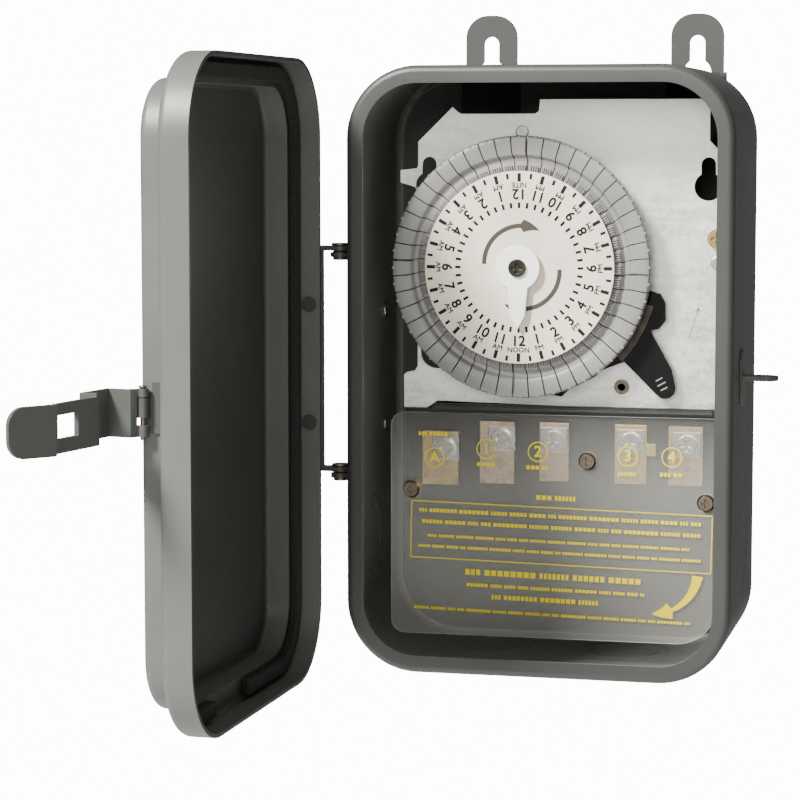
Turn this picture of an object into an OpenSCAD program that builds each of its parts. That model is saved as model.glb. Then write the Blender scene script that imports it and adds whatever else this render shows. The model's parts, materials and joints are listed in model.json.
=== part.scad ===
// Twenty-four hour mechanical time switch in a drawn steel wall enclosure.
// Frame: X right, Z up, the enclosure's back lies on the wall plane y = 0
// and its mouth faces -Y.  Depths called n are distances from the wall plane.

/* [Enclosure] */
// Width of the box body
body_w = 123.2; // [120:0.2:148]
// Height of the box body
body_h = 193.2; // [192:0.2:232]
// Distance from the wall plane to the front of the rim
body_d = 66.5; // [64:0.5:80]
// Thickness of the drawn steel
steel = 1.2; // [0.9:0.1:1.5]
// Outside corner radius of the body
corner_r = 23; // [18:1:26]
// Width of the inturned rim flange
rim_w = 5.6; // [4:0.2:6.5]

/* [Door] */
// Gap between the door lip and the body wall
lip_gap = 0.7; // [0.6:0.05:1]
// How far the lip reaches back over the rim
lip_cover = 5.5; // [4:0.5:6]
// Gap between the door ledge and the rim
ledge_gap = 2.9; // [2.4:0.1:3.4]
// Depth of the raised panel in front of the ledge
raise_d = 8; // [7.8:0.2:10]
// Inset of the raised panel from the lip
raise_in = 7.6; // [7:0.2:8.4]
// Thickness of the foam gasket
gasket_t = 2.6; // [1.6:0.1:2.6]

/* [Mechanism] */
// Distance from the wall plane to the front of the mechanism plate
plate_n = 36; // [35:0.5:37]
// Outer radius of the tripper ring
ring_r = 42; // [40:0.5:42.5]
// Radius of the printed dial disc
disc_r = 30.8; // [29:0.1:32]
// Number of captive trippers round the dial
tripper_count = 48; // [24:24:48]
// Pitch module of the dial gear and the motor pinion
gear_module = 0.8; // [0.8:0.05:0.9]
// Radius of the fixed centre stud inside the dial hub
stud_r = 3; // [2.5:0.1:3.4]

/* [Switch] */
// Thickness of the insulating sheet
sheet_t = 0.8; // [0.5:0.1:1]
// Radius of the terminal screw heads
terminal_head_r = 3.2; // [2.6:0.1:3.4]
// Distance from the board face to the insulating sheet
sheet_gap = 7.2; // [6:0.2:8.8]

/* [Hidden] */
$fn = 48;
eps = 0.01;

// angles at which the moving pieces are drawn
door_open = 91.4;
hasp_open = 98.6;

// running clearance on pins and shafts
run = 0.05;

// enclosure
half_w = body_w / 2;
half_h = body_h / 2;
back_bend = 4;
rim_bend = 2.4;
ring_a = 8;

// door, in the closed position
door_w = body_w + 2 * (lip_gap + steel);
door_h = body_h + 2 * (lip_gap + steel);
door_hw = door_w / 2;
lip_n = body_d - lip_cover;
ledge_n = body_d + ledge_gap;
raise_n = ledge_n + steel + raise_d;
lip_bend = 2.6;
raise_bend = 2.6;
crease = 1;
door_corner = corner_r + lip_gap + steel;
gasket_in = lip_bend;
gasket_w = 4.8;
gasket_gap_x = [-5, 25];

// hinge: pin axis and the heights of the pairs of tabs
pin_x = -half_w - 4.6;
pin_n = lip_n - 5.7;
pin_r = 1.6;
eye_r = 3.2;
tab_t = 1.5;
tab_gap = 0.6;
tab_z = [37.3, -34];
box_strip_n = [10, 46];
box_rivet_n = 19;
box_rivet_z = [16.6, -21.5];
door_rivet_z = [20.5, -17.6];
door_rivet_n = lip_n + 3.6;
rivet_r = 1.6;

// hasp, in the latched position
wall_x = door_hw - raise_in;
hasp_x = wall_x + 2.5;
hasp_n = raise_n - 1.8;
hasp_pin_r = 0.75;
barrel_r = 1.7;
strap_t = 1.5;
strap_z = [-9.6, 4];
barrel_z = [-4.2, 1.4];
hat_x = door_hw + 4.1;
hat_n = [lip_n - 1.4, raise_n - 5.2];
plate_face_x = half_w + 1.3;
strap_plate_z = [-10.6, 3];
strap_end_n = hat_n[0] - 22;
slot_n = [strap_end_n + 0.6, strap_end_n + 11.4];
slot_z = [-6.6, -0.2];
tab_len = 15;
tab_tilt = 27;
staple_n = (slot_n[0] + slot_n[1]) / 2 + 0.3;
staple_w = 7.5;
staple_z = -1.5;
staple_t = 1.6;
staple_hole_r = 2.6;
staple_hole_x = half_w + 8;

// knockouts
ko_r = 14.3;
ko_slug_r = 11.1;
ko_side = [36, -57.9];
ko_bottom_n = 18;
ko_bottom_x = 21.5;

// hanger ears and wall screws
ear_x = [-27.8, 41.3];
ear_w = 17.4;
ear_t = 1.5;
ear_top = half_h + 18;
ear_low = half_h - 26;
ear_round = 7.5;
key_z = half_h - 1.4;
key_r = 4.6;
slot_half = 2.55;
slot_top = half_h + 10.9;
wall_screw_x = 38;
wall_screw_z = -46;
wall_screw_r = 2.6;

// mechanism plate and what stands on it
plate_t = 1.2;
dial_x = -9.2;
dial_z = 32.6;
post_at = [[53, 42], [-40.5, 42], [-24, 10]];
post_r = 4;
screw_r = 1.9;
key_hole_x = [-41.2, 49.7];
key_hole_z = 65.4;
rivet_at = [[22.4, -6], [-22, -4]];
rivet_hole_r = 1.5;
eyelet_r = 1.1;
eyelet_head_r = 2.4;
plate_rivet_at = [[52.8, 34.2], [-10.5, 75.8]];
plate_rivet_r = 1.3;
plate_rivet_head_r = 2.1;

// stack of the dial, as depths
stud_step_r = 5;
lever_n = [plate_n + 2.2, plate_n + 3.8];
trip_n = [lever_n[1], lever_n[1] + 1];
gear_n = [trip_n[1] + 0.3, trip_n[1] + 1.5];
carrier_n = [gear_n[1], gear_n[1] + 1.3];
tripper_n = [carrier_n[1], carrier_n[1] + 3.2];
disc_n = [tripper_n[1] + 0.4, tripper_n[1] + 1.3];
pointer_n = [disc_n[1] + 1, disc_n[1] + 2.5];
hub_r = 8;
carrier_r = ring_r - 1;
tripper_in = disc_r - 3;
gear_teeth = 60;
pinion_teeth = 10;
gear_r = gear_module * gear_teeth / 2;
pinion_r = gear_module * pinion_teeth / 2;
pinion_at = [dial_x, dial_z + gear_r + pinion_r];
pinion_shaft_r = 1.2;
pointer_screw_r = 1.2;
quarter = tripper_count / 4;

// manual lever
drive_at_r = 40;
drive_at_a = -75;
drive_r = 1.5;
drive_travel = 18;
drive_xz = [dial_x + drive_at_r * cos(drive_at_a), dial_z + drive_at_r * sin(drive_at_a)];

// motor behind the plate
motor_at = [pinion_at[0] + 12, pinion_at[1]];
motor_r = 23;
gearbox_n = [19, 30];
motor_n = [5, 19];
motor_post_at = [[motor_at[0] - 27, motor_at[1] + 6], [motor_at[0] + 27, motor_at[1] + 6]];

// terminal board
board_x = [-49, 54.5];
board_z = [-50, -14.3];
board_n = [24, plate_n + 0.8];
board_lip_n = board_n[1] + 1.6;
board_lip_z = -12.5;
lug_w = 13;
lug_z = -1;
terminal_n = [board_n[1], board_n[1] + 1.4];
pressure_n = [terminal_n[1], terminal_n[1] + 0.8];
head_n = [pressure_n[1], pressure_n[1] + 2];
terminal_screw_r = 2;
screw_end_n = board_n[1] - 6;
screw_a = [-35.1, -27.1];
screw_1 = [-16.4, -23.5];
screw_2 = [0.8, -23.5];
screw_3 = [25.8, -23.5];
screw_4 = [44, -24];
terminal_at = [screw_a, screw_1, screw_2, screw_3, screw_4];
contact_x = [-19, 1, 25, 44];
contact_z = -33;
contact_r = 2.2;
bridge_half = 2;

// sliding contact carrier in the board's back
carrier_bar_n = [20.4, 23.4];
carrier_bar_z = [-38, -26];
carrier_bar_x = [-30, 46];
tab_half = 4.5;
fork_half = 2.1;
fork_z = -8.5;
rail_t = 2;
cover_n = [18.6, 20];
cover_screw_x = [-44, 50];
cover_screw_z = -43;

// insulating sheet
sheet_n = [board_n[1] + sheet_gap, board_n[1] + sheet_gap + sheet_t];
sheet_x = [-52, 55.4];
sheet_axis_z = -14.4;
sheet_z = [-87.6, sheet_axis_z - 0.45];
sheet_post_at = [[-45.2, -40.1], [12.8, -29.4], [51, -41.8]];
sheet_post_r = 2.2;
sheet_head_r = 2.3;
sheet_hole_r = 2.9;
sheet_screw_r = 1.3;
sheet_big_corner = 14;
sheet_small_corner = 4.5;

// ---------- helpers ----------

// extrudes a front view drawing between two depths
module slab(n0, n1) {
    rotate([90, 0, 0])
        translate([0, 0, n0])
            linear_extrude(n1 - n0)
                children();
}

// a disc in front view at [x, z]
module disc(at, r, n0, n1) {
    slab(n0, n1)
        translate(at)
            circle(r);
}

module ring2d(at, r_out, r_in) {
    translate(at)
        difference() {
            circle(r_out);
            circle(r_in);
        }
}

module rounded(w, h, r) {
    union() {
        square([w - 2 * r, h], center = true);
        square([w, h - 2 * r], center = true);
        for (sx = [-1, 1], sy = [-1, 1])
            translate([sx * (w / 2 - r), sy * (h / 2 - r)])
                circle(r);
    }
}

// box between two corners given as ranges
module span(x, n, z) {
    translate([x[0], -n[1], z[0]])
        cube([x[1] - x[0], n[1] - n[0], z[1] - z[0]]);
}

// sweeps a section round a rounded rectangle; the section's x is the
// distance in from the outside and its y is the depth n
module rim_sweep(w, h, r) {
    rotate([90, 0, 0]) {
        for (q = [0 : 3]) {
            odd = q % 2;
            long = odd ? w : h;
            across = odd ? h : w;
            rotate([0, 0, 90 * q]) {
                translate([across / 2, -(long - 2 * r) / 2, 0])
                    rotate([90, 0, 180])
                        linear_extrude(long - 2 * r)
                            children();
                translate([across / 2 - r, long / 2 - r, 0])
                    rotate_extrude(angle = 90)
                        translate([r, 0])
                            mirror([1, 0])
                                children();
            }
        }
    }
}

// cylinder along X between two x values
module rod_x(x0, x1, n, z, r) {
    translate([x0, -n, z])
        rotate([0, 90, 0])
            cylinder(h = x1 - x0, r = r);
}

module about_pin() {
    translate([pin_x, -pin_n, 0])
        rotate([0, 0, -door_open])
            translate([-pin_x, pin_n, 0])
                children();
}

module about_hasp() {
    about_pin()
        translate([hasp_x, -hasp_n, 0])
            rotate([0, 0, -hasp_open])
                translate([-hasp_x, hasp_n, 0])
                    children();
}

// ---------- enclosure ----------

module body_section() {
    difference() {
        union() {
            translate([0, back_bend])
                square([ring_a, body_d - back_bend - rim_bend]);
            translate([back_bend, 0])
                square([ring_a - back_bend, body_d]);
            translate([back_bend, back_bend])
                circle(back_bend);
            translate([rim_bend, body_d - rim_bend])
                circle(rim_bend);
            translate([rim_bend, body_d - rim_bend])
                square([ring_a - rim_bend, rim_bend]);
        }
        union() {
            translate([steel, back_bend])
                square([ring_a, body_d - back_bend - rim_bend]);
            translate([back_bend, steel])
                square([ring_a, body_d - 2 * steel]);
            translate([back_bend, back_bend])
                circle(back_bend - steel);
            translate([rim_bend, body_d - rim_bend])
                circle(rim_bend - steel);
            translate([rim_bend, body_d - rim_bend - steel])
                square([ring_a, rim_bend]);
        }
        translate([rim_w, body_d - 2 * steel])
            square([ring_a, 3 * steel]);
    }
}

module ear_pockets(grow, n0, n1) {
    for (x = ear_x)
        span([x - ear_w / 2 - grow, x + ear_w / 2 + grow], [n0, n1],
             [ear_low - grow, half_h + 4 * grow]);
}

module box_body() {
    color("#8a8a84")
    difference() {
        union() {
            difference() {
                union() {
                    rim_sweep(body_w, body_h, corner_r)
                        body_section();
                    slab(0, steel)
                        rounded(body_w - 2 * ring_a, body_h - 2 * ring_a, corner_r - ring_a);
                }
                ear_pockets(0, -1, ear_t);
            }
            for (x = ear_x)
                span([x - ear_w / 2 - steel, x + ear_w / 2 + steel], [ear_t, ear_t + steel],
                     [ear_low - steel, half_h - steel]);
        }
        for (s = [-1, 1])
            rod_x(s * half_w - 3, s * half_w + 3, ko_side[0], ko_side[1], ko_r);
        for (s = [-1, 1])
            translate([s * ko_bottom_x, -ko_bottom_n, -half_h - 3])
                cylinder(h = 6, r = ko_r);
        for (z = box_rivet_z)
            rod_x(-half_w - 3, -half_w + 3, box_rivet_n, z, rivet_r);
        for (s = [-1, 1])
            disc([s * wall_screw_x, wall_screw_z], wall_screw_r, -1, 4);
    }
}

module hanger_ears() {
    color("#7f7f79")
    for (x = ear_x)
        slab(0, ear_t)
            translate([x, 0])
                difference() {
                    union() {
                        translate([-ear_w / 2, ear_low])
                            square([ear_w, ear_top - ear_round - ear_low]);
                        translate([-ear_w / 2 + ear_round, ear_low])
                            square([ear_w - 2 * ear_round, ear_top - ear_low]);
                        for (s = [-1, 1])
                            translate([s * (ear_w / 2 - ear_round), ear_top - ear_round])
                                circle(ear_round);
                    }
                    translate([0, key_z])
                        circle(key_r);
                    translate([-slot_half, key_z])
                        square([2 * slot_half, slot_top - slot_half - key_z]);
                    translate([0, slot_top - slot_half])
                        circle(slot_half);
                }
}

module knockout_pieces(r_out, r_in) {
    for (s = [-1, 1])
        translate([s * (half_w - steel / 2), -ko_side[0], ko_side[1]])
            rotate([0, 90, 0])
                translate([0, 0, -steel / 2])
                    linear_extrude(steel)
                        ring2d([0, 0], r_out, r_in);
    for (s = [-1, 1])
        translate([s * ko_bottom_x, -ko_bottom_n, -half_h])
            linear_extrude(steel)
                ring2d([0, 0], r_out, r_in);
}

module knockout_rings() {
    color("#85857f")
        knockout_pieces(ko_r, ko_slug_r);
}

module knockout_slugs() {
    color("#8f8f89")
    union() {
        for (s = [-1, 1])
            rod_x(s * (half_w - steel / 2) - steel / 2, s * (half_w - steel / 2) + steel / 2,
                  ko_side[0], ko_side[1], ko_slug_r);
        for (s = [-1, 1])
            translate([s * ko_bottom_x, -ko_bottom_n, -half_h])
                cylinder(h = steel, r = ko_slug_r);
    }
}

module hasp_staple() {
    color("#6b6b63")
    difference() {
        union() {
            span([half_w, half_w + 0.8], [staple_n - 5, staple_n + 5], [staple_z - 4, staple_z + 4]);
            rod_x(half_w, half_w + 0.8, staple_n, staple_z + 4, 5);
            rod_x(half_w, half_w + 0.8, staple_n, staple_z - 4, 5);
            span([half_w, staple_hole_x],
                 [staple_n - staple_w / 2, staple_n + staple_w / 2],
                 [staple_z - staple_t / 2, staple_z + staple_t / 2]);
            translate([staple_hole_x, -staple_n, staple_z - staple_t / 2])
                cylinder(h = staple_t, r = staple_w / 2);
        }
        translate([staple_hole_x, -staple_n, staple_z - 3])
            cylinder(h = 6, r = staple_hole_r);
    }
}

// ---------- door hinge ----------

module box_tab() {
    difference() {
        union() {
            translate([pin_x, -pin_n])
                circle(eye_r);
            polygon([[pin_x - eye_r, -pin_n], [pin_x + eye_r, -pin_n - 1],
                     [-half_w - 0.1, -pin_n + 2.4], [-half_w - 0.1, -box_strip_n[1] + 8],
                     [-half_w - 1.4, -box_strip_n[1] + 8]]);
        }
        translate([pin_x, -pin_n])
            circle(pin_r);
    }
}

module box_hinge_bracket() {
    color("#6f6f68")
    difference() {
        union() {
            span([-half_w - steel, -half_w], box_strip_n, [tab_z[1] - tab_t, tab_z[0]]);
            for (z = tab_z)
                translate([0, 0, z - tab_t])
                    linear_extrude(tab_t)
                        box_tab();
        }
        for (z = box_rivet_z)
            rod_x(-half_w - 4, -half_w + 1, box_rivet_n, z, rivet_r);
    }
}

module rivet_x(x0, x1, n, z, inner_head) {
    rod_x(x0, x1, n, z, rivet_r);
    rod_x(x0 - 1, x0, n, z, rivet_r + 0.9);
    rod_x(x1, x1 + inner_head, n, z, rivet_r + 0.9);
}

module box_hinge_rivets() {
    color("#8d8d86")
    for (z = box_rivet_z)
        union()
            rivet_x(-half_w - steel, -half_w + steel, box_rivet_n, z, 1);
}

// the pin stays with the box; the door's tabs turn on it
module hinge_pin(z) {
    translate([pin_x, -pin_n, z - tab_t - 1])
        union() {
            cylinder(h = 1, r = 2.4);
            cylinder(h = 2 * tab_t + tab_gap + 1.1, r = pin_r);
            translate([0, 0, tab_t + 1])
                cylinder(h = tab_gap - 0.1, r = 2.4);
            translate([0, 0, 2 * tab_t + tab_gap + 1.1])
                cylinder(h = 0.8, r = 2.8);
        }
}

module hinge_pin_upper() {
    color("#b9805a")
        hinge_pin(tab_z[0]);
}

module hinge_pin_lower() {
    color("#b9805a")
        hinge_pin(tab_z[1]);
}

// ---------- door ----------

module door_section() {
    step = ledge_n + steel;
    union() {
        translate([0, lip_n])
            square([steel, step - lip_n - lip_bend]);
        intersection() {
            translate([lip_bend, step - lip_bend])
                difference() {
                    circle(lip_bend);
                    circle(lip_bend - steel);
                }
            translate([0, step - lip_bend])
                square([lip_bend, lip_bend]);
        }
        translate([lip_bend, ledge_n])
            square([raise_in + steel - lip_bend, steel]);
        translate([raise_in, step])
            square([steel, raise_d - raise_bend]);
        intersection() {
            translate([raise_in + raise_bend, raise_n - raise_bend])
                difference() {
                    circle(raise_bend);
                    circle(raise_bend - steel);
                }
            translate([raise_in, raise_n - raise_bend])
                square([raise_bend, raise_bend]);
        }
        difference() {
            translate([raise_in - crease, step])
                square([crease, crease]);
            translate([raise_in - crease, step + crease])
                circle(crease);
        }
        translate([raise_in + raise_bend, raise_n - steel])
            square([1.4, steel]);
    }
}

module door_shell() {
    edge = raise_in + raise_bend + 1.4;
    color("#9b9b94")
    about_pin()
    difference() {
        union() {
            rim_sweep(door_w, door_h, door_corner)
                door_section();
            slab(raise_n - steel, raise_n)
                rounded(door_w - 2 * edge, door_h - 2 * edge, door_corner - edge);
        }
        for (z = door_rivet_z)
            rod_x(-door_hw - 3, -door_hw + 3, door_rivet_n, z, rivet_r);
    }
}

module door_tab() {
    difference() {
        union() {
            translate([pin_x, -pin_n])
                circle(eye_r);
            polygon([[-door_hw, -lip_n - 5.5], [-door_hw - 3.4, -lip_n - 5.5],
                     [pin_x - eye_r, -pin_n], [pin_x + eye_r, -pin_n], [-door_hw, -lip_n + 0.5]]);
        }
        translate([pin_x, -pin_n])
            circle(pin_r + run);
    }
}

module door_hinge_bracket() {
    color("#6f6f68")
    about_pin()
    difference() {
        union() {
            span([-door_hw - steel, -door_hw], [lip_n - 0.8, lip_n + 7],
                 [tab_z[1] + tab_gap, tab_z[0] + tab_gap + tab_t]);
            for (z = tab_z)
                translate([0, 0, z + tab_gap])
                    linear_extrude(tab_t)
                        door_tab();
        }
        for (z = door_rivet_z)
            rod_x(-door_hw - 4, -door_hw + 1, door_rivet_n, z, rivet_r);
    }
}

module door_hinge_rivets() {
    color("#8d8d86")
    about_pin()
    for (z = door_rivet_z)
        union()
            rivet_x(-door_hw - steel, -door_hw + steel, door_rivet_n, z, lip_gap - 0.35);
}

module door_gasket() {
    color("#151613")
    about_pin()
    difference() {
        rim_sweep(door_w, door_h, door_corner)
            translate([gasket_in, ledge_n - gasket_t])
                square([gasket_w, gasket_t]);
        span(gasket_gap_x, [ledge_n - gasket_t - 1, ledge_n + 1], [-door_h, -door_h / 4]);
        for (z = door_rivet_z)
            span([-door_hw, -door_hw + steel + 1.2], [ledge_n - gasket_t - 1, door_rivet_n + 3],
                 [z - 3, z + 3]);
    }
}

// ---------- hasp ----------

module hasp_base() {
    color("#7a7b74")
    about_pin()
    difference() {
        union() {
            span([wall_x, wall_x + 1], [ledge_n + steel + crease + 0.1, hasp_n - 2.2], [-8.8, 5.6]);
            span([wall_x, wall_x + 1], [hasp_n - 2.3, hasp_n + 0.6], barrel_z);
            span([wall_x + 0.5, hasp_x], [hasp_n + 0.8, hasp_n + barrel_r], barrel_z);
            span([wall_x, wall_x + 1], [hasp_n, hasp_n + barrel_r], barrel_z);
            translate([hasp_x, -hasp_n, barrel_z[0]])
                cylinder(h = barrel_z[1] - barrel_z[0], r = barrel_r);
        }
        translate([hasp_x, -hasp_n, -20])
            cylinder(h = 40, r = hasp_pin_r);
    }
}

module hasp_pin() {
    color("#b9805a")
    about_pin()
    translate([hasp_x, -hasp_n, strap_z[0] - 1])
        union() {
            cylinder(h = strap_z[1] - strap_z[0] + 1.2, r = hasp_pin_r);
            translate([0, 0, strap_z[1] - strap_z[0] + 1.2])
                cylinder(h = 0.6, r = 1.2);
        }
}

// hat-shaped bridge that steps over the door lip
module strap_hat() {
    half = strap_t / 2;
    kink_x = hasp_x + 2.4;
    lean = 0.9;
    polygon([[hasp_x, -hasp_n - lean], [kink_x + 0.6, -hat_n[1] - half],
             [hat_x + half, -hat_n[1] - half], [hat_x + half, -hat_n[0] + half],
             [plate_face_x, -hat_n[0] + half], [plate_face_x, -hat_n[0] - half],
             [hat_x - half, -hat_n[0] - half], [hat_x - half, -hat_n[1] + half],
             [kink_x - half, -hat_n[1] + half], [hasp_x, -hasp_n + lean]]);
}

module strap_grip() {
    end_r = 5;
    grip_h = 14;
    translate([plate_face_x, -strap_end_n, -4.2])
        rotate([0, 0, -tab_tilt])
            rotate([90, 0, 90])
                linear_extrude(strap_t)
                    union() {
                        translate([0, -grip_h / 2])
                            square([tab_len - end_r, grip_h]);
                        translate([0, -grip_h / 2 + end_r])
                            square([tab_len, grip_h - 2 * end_r]);
                        for (s = [-1, 1])
                            translate([tab_len - end_r, s * (grip_h / 2 - end_r)])
                                circle(end_r);
                    }
}

module hasp_strap() {
    color("#5f6059")
    about_hasp()
    difference() {
        union() {
            translate([0, 0, strap_z[0]])
                linear_extrude(strap_z[1] - strap_z[0])
                    strap_hat();
            for (z = [[strap_z[0], -6.4], [1.6, strap_z[1]]])
                translate([hasp_x, -hasp_n, z[0]])
                    cylinder(h = z[1] - z[0], r = barrel_r);
            span([plate_face_x, plate_face_x + strap_t], [strap_end_n, hat_n[0] + strap_t / 2],
                 strap_plate_z);
            strap_grip();
        }
        span([plate_face_x - 2, plate_face_x + 4], slot_n, slot_z);
        translate([hasp_x, -hasp_n, -20])
            cylinder(h = 40, r = hasp_pin_r + run);
        translate([hasp_x, -hasp_n, -6.4])
            cylinder(h = 8, r = barrel_r + 0.5);
    }
}

// ---------- mechanism plate ----------

module plate_outline() {
    polygon([[-4.8, 86.2], [49, 86.2], [50, 85.2], [50, 73], [56.4, 66.2], [57.2, 65], [57.2, 57],
             [55, 55], [55, -12.6], [54, -13.6], [-38.4, -11.8], [-42, -14.2], [-49.7, -14.2],
             [-49.7, -3.4], [-48.8, -2.6], [-46, -2], [-45.1, -0.5], [-45.1, 56.2], [-46.2, 58],
             [-50.9, 59.4], [-50.9, 63.4], [-45.4, 64], [-45, 65], [-45, 72.6], [-33.6, 83.8],
             [-31.8, 82.2], [-30.8, 81.6], [-6.4, 81.6], [-5.2, 82.4]]);
}

module key_hole_2d(x) {
    translate([x, key_hole_z])
        circle(2.3);
    translate([x - 2.3, key_hole_z - 7])
        square([4.6, 7]);
    translate([x, key_hole_z - 7])
        circle(4.5);
}

// arc slot that the lever's drive pin runs in
module drive_slot_2d() {
    half = drive_r + 0.7;
    steps = 6;
    translate([dial_x, dial_z]) {
        for (i = [0 : steps])
            rotate(drive_at_a + i * drive_travel / steps)
                translate([drive_at_r, 0])
                    circle(half);
        for (i = [0 : steps - 1])
            rotate(drive_at_a + (i + 0.5) * drive_travel / steps)
                translate([drive_at_r - half + 0.05, -1.2])
                    square([2 * half - 0.1, 2.4]);
    }
}

module mechanism_plate() {
    color("#c9ccc6")
    slab(plate_n - plate_t, plate_n)
        difference() {
            plate_outline();
            for (x = key_hole_x)
                key_hole_2d(x);
            for (p = post_at)
                translate(p)
                    circle(screw_r);
            for (p = rivet_at)
                translate(p)
                    circle(rivet_hole_r);
            for (p = plate_rivet_at)
                translate(p)
                    circle(plate_rivet_r);
            translate([dial_x, dial_z])
                circle(stud_step_r);
            translate(pinion_at)
                circle(pinion_shaft_r + 1.2);
            translate([-38.6, 4.2])
                circle(5.4);
            drive_slot_2d();
        }
}

module plate_rivets() {
    color("#9b9b94")
    for (p = plate_rivet_at)
        union() {
            disc(p, plate_rivet_r, plate_n - plate_t - 0.5, plate_n + 0.5);
            disc(p, plate_rivet_head_r, plate_n, plate_n + 0.8);
            disc(p, plate_rivet_head_r, plate_n - plate_t - 0.8, plate_n - plate_t);
        }
}

module plate_posts() {
    color("#b8b8b0")
    for (p = post_at)
        slab(steel, plate_n - plate_t)
            ring2d(p, post_r, screw_r);
}

module screw_y(at, head_r, shank_r, n_tip, n_seat, head_t) {
    disc(at, shank_r, n_tip, n_seat);
    difference() {
        disc(at, head_r, n_seat, n_seat + head_t);
        for (a = [0, 90])
            slab(n_seat + head_t * 0.35, n_seat + head_t + 1)
                translate(at)
                    rotate(a)
                        square([head_r * 1.25, head_r * 0.34], center = true);
    }
}

module plate_screws() {
    color("#c9b56a")
    for (p = post_at)
        union()
            screw_y(p, 3.3, screw_r, plate_n - plate_t - 8, plate_n, 1.9);
}

// fixed stud: plate, lever and dial hub all sit on it
module center_stud() {
    color("#b5a468")
    difference() {
        union() {
            disc([dial_x, dial_z], 8, plate_n - plate_t - 1.5, plate_n - plate_t);
            disc([dial_x, dial_z], stud_step_r, plate_n - plate_t, trip_n[1]);
            disc([dial_x, dial_z], stud_r, trip_n[1], pointer_n[0]);
        }
        disc([dial_x, dial_z], pointer_screw_r, pointer_n[0] - 6, pointer_n[0] + 1);
    }
}

module lever_spacer() {
    color("#d8d8d0")
    slab(plate_n, lever_n[0] - 0.1)
        ring2d([dial_x, dial_z], 8, stud_step_r);
}

// ---------- manual lever ----------

module manual_lever() {
    n0 = lever_n[0];
    n1 = lever_n[1];
    color("#1c1c1a")
    difference() {
        union() {
            disc([dial_x, dial_z], 9.5, n0, n1);
            slab(n0, n1)
                polygon([[dial_x + 4, dial_z + 8], [31, 25.6], [35.2, 24.4], [36.8, 21.6],
                         [37, 15.8], [34.8, 13.2], [32.1, 12.6], [39.1, 0.2], [40.2, -5],
                         [34.2, -7.9], [23.7, 2.4], [10, -3], [3.4, -9.2], [-1.2, -8.6],
                         [dial_x - 6, dial_z - 7]]);
            disc([36.9, -5.8], 3.4, n0, n1);
        }
        disc([dial_x, dial_z], stud_step_r + run, n0 - 1, n1 + 1);
        disc(drive_xz, drive_r, n0 - 1, n1 + 1);
    }
}

// flat steel sector on the lever that the trippers act on
module trip_plate() {
    r_in = 34;
    r_out = 44.2;
    color("#4c4a45")
    slab(trip_n[0], trip_n[1])
        translate([dial_x, dial_z])
            intersection() {
                difference() {
                    circle(r_out);
                    circle(r_in);
                }
                polygon([[0, 0], [r_out * 2 * cos(-43), r_out * 2 * sin(-43)],
                         [r_out * 2 * cos(-16), r_out * 2 * sin(-16)]]);
            }
}

module drive_pin() {
    color("#e6e2d2")
        disc(drive_xz, drive_r, carrier_bar_n[0] + 0.4, lever_n[1]);
}

// ---------- dial ----------

module dial_hub() {
    color("#cfc9b4")
    slab(trip_n[1] + 0.1, disc_n[0])
        ring2d([dial_x, dial_z], hub_r, stud_r + run);
}

// one gear outline: teeth at whole multiples of the pitch angle
function gear_points(teeth, r, root_half, tip_half) = [
    for (i = [0 : teeth - 1])
        for (p = [[-root_half, -0.9], [-tip_half, 0.55], [tip_half, 0.55], [root_half, -0.9]])
            let (a = (i + p[0]) * 360 / teeth, q = r + p[1] * gear_module)
                [q * cos(a), q * sin(a)]
];

module dial_gear() {
    color("#d8c48a")
    slab(gear_n[0], gear_n[1])
        translate([dial_x, dial_z])
            difference() {
                polygon(gear_points(gear_teeth, gear_r, 0.3, 0.13));
                circle(hub_r);
            }
}

module tripper_carrier() {
    color("#8f8f88")
    slab(carrier_n[0], carrier_n[1])
        ring2d([dial_x, dial_z], carrier_r, hub_r);
}

module dial_disc() {
    color("#eae5da")
    slab(disc_n[0], disc_n[1])
        ring2d([dial_x, dial_z], disc_r, stud_r + 0.3);
}

// stepped wedge with a small nub on its outer edge, pointing along +X
module tripper_piece() {
    pitch = 360 / tripper_count;
    gap_a = 0.5;
    step_r = tripper_in + (ring_r - tripper_in) * 0.5;
    low = tripper_n[0];
    high = tripper_n[1];
    rotate([0, 0, -pitch / 2 + gap_a / 2])
        rotate_extrude(angle = pitch - gap_a)
            polygon([[tripper_in, low], [ring_r, low], [ring_r, high], [step_r + 1.2, high],
                     [step_r + 0.6, high - 0.9], [step_r - 0.6, high - 0.9],
                     [step_r - 1.2, high - 0.5], [tripper_in, high - 0.5]]);
    translate([ring_r - 0.1, 0, low + 0.6])
        cylinder(h = high - low - 1.2, r = 0.8);
}

module tripper_at(i) {
    rotate([90, 0, 0])
        translate([dial_x, dial_z, 0])
            rotate([0, 0, i * 360 / tripper_count])
                union()
                    tripper_piece();
}

module trippers() {
    color("#a8a7a3")
    for (i = [0 : tripper_count - 1])
        if (i % quarter != 0)
            tripper_at(i);
}

module tripper_east() {
    color("#a8a7a3")
        tripper_at(0);
}

module tripper_north() {
    color("#a8a7a3")
        tripper_at(quarter);
}

module tripper_west() {
    color("#a8a7a3")
        tripper_at(2 * quarter);
}

module tripper_south() {
    color("#a8a7a3")
        tripper_at(3 * quarter);
}

// round hub with a tapered arm that ends in a point
module time_pointer() {
    hub = 7.2;
    root = [3.4, 6.3];
    neck = [2.45, 15.4];
    tip = 19.8;
    color("#f2f2ee")
    slab(pointer_n[0], pointer_n[1])
        translate([dial_x, dial_z])
            difference() {
                union() {
                    circle(hub);
                    polygon([[-root[0], 0], [-root[0], -root[1]], [-neck[0], -neck[1]], [0, -tip],
                             [neck[0], -neck[1]], [root[0], -root[1]], [root[0], 0]]);
                }
                circle(pointer_screw_r);
            }
}

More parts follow.
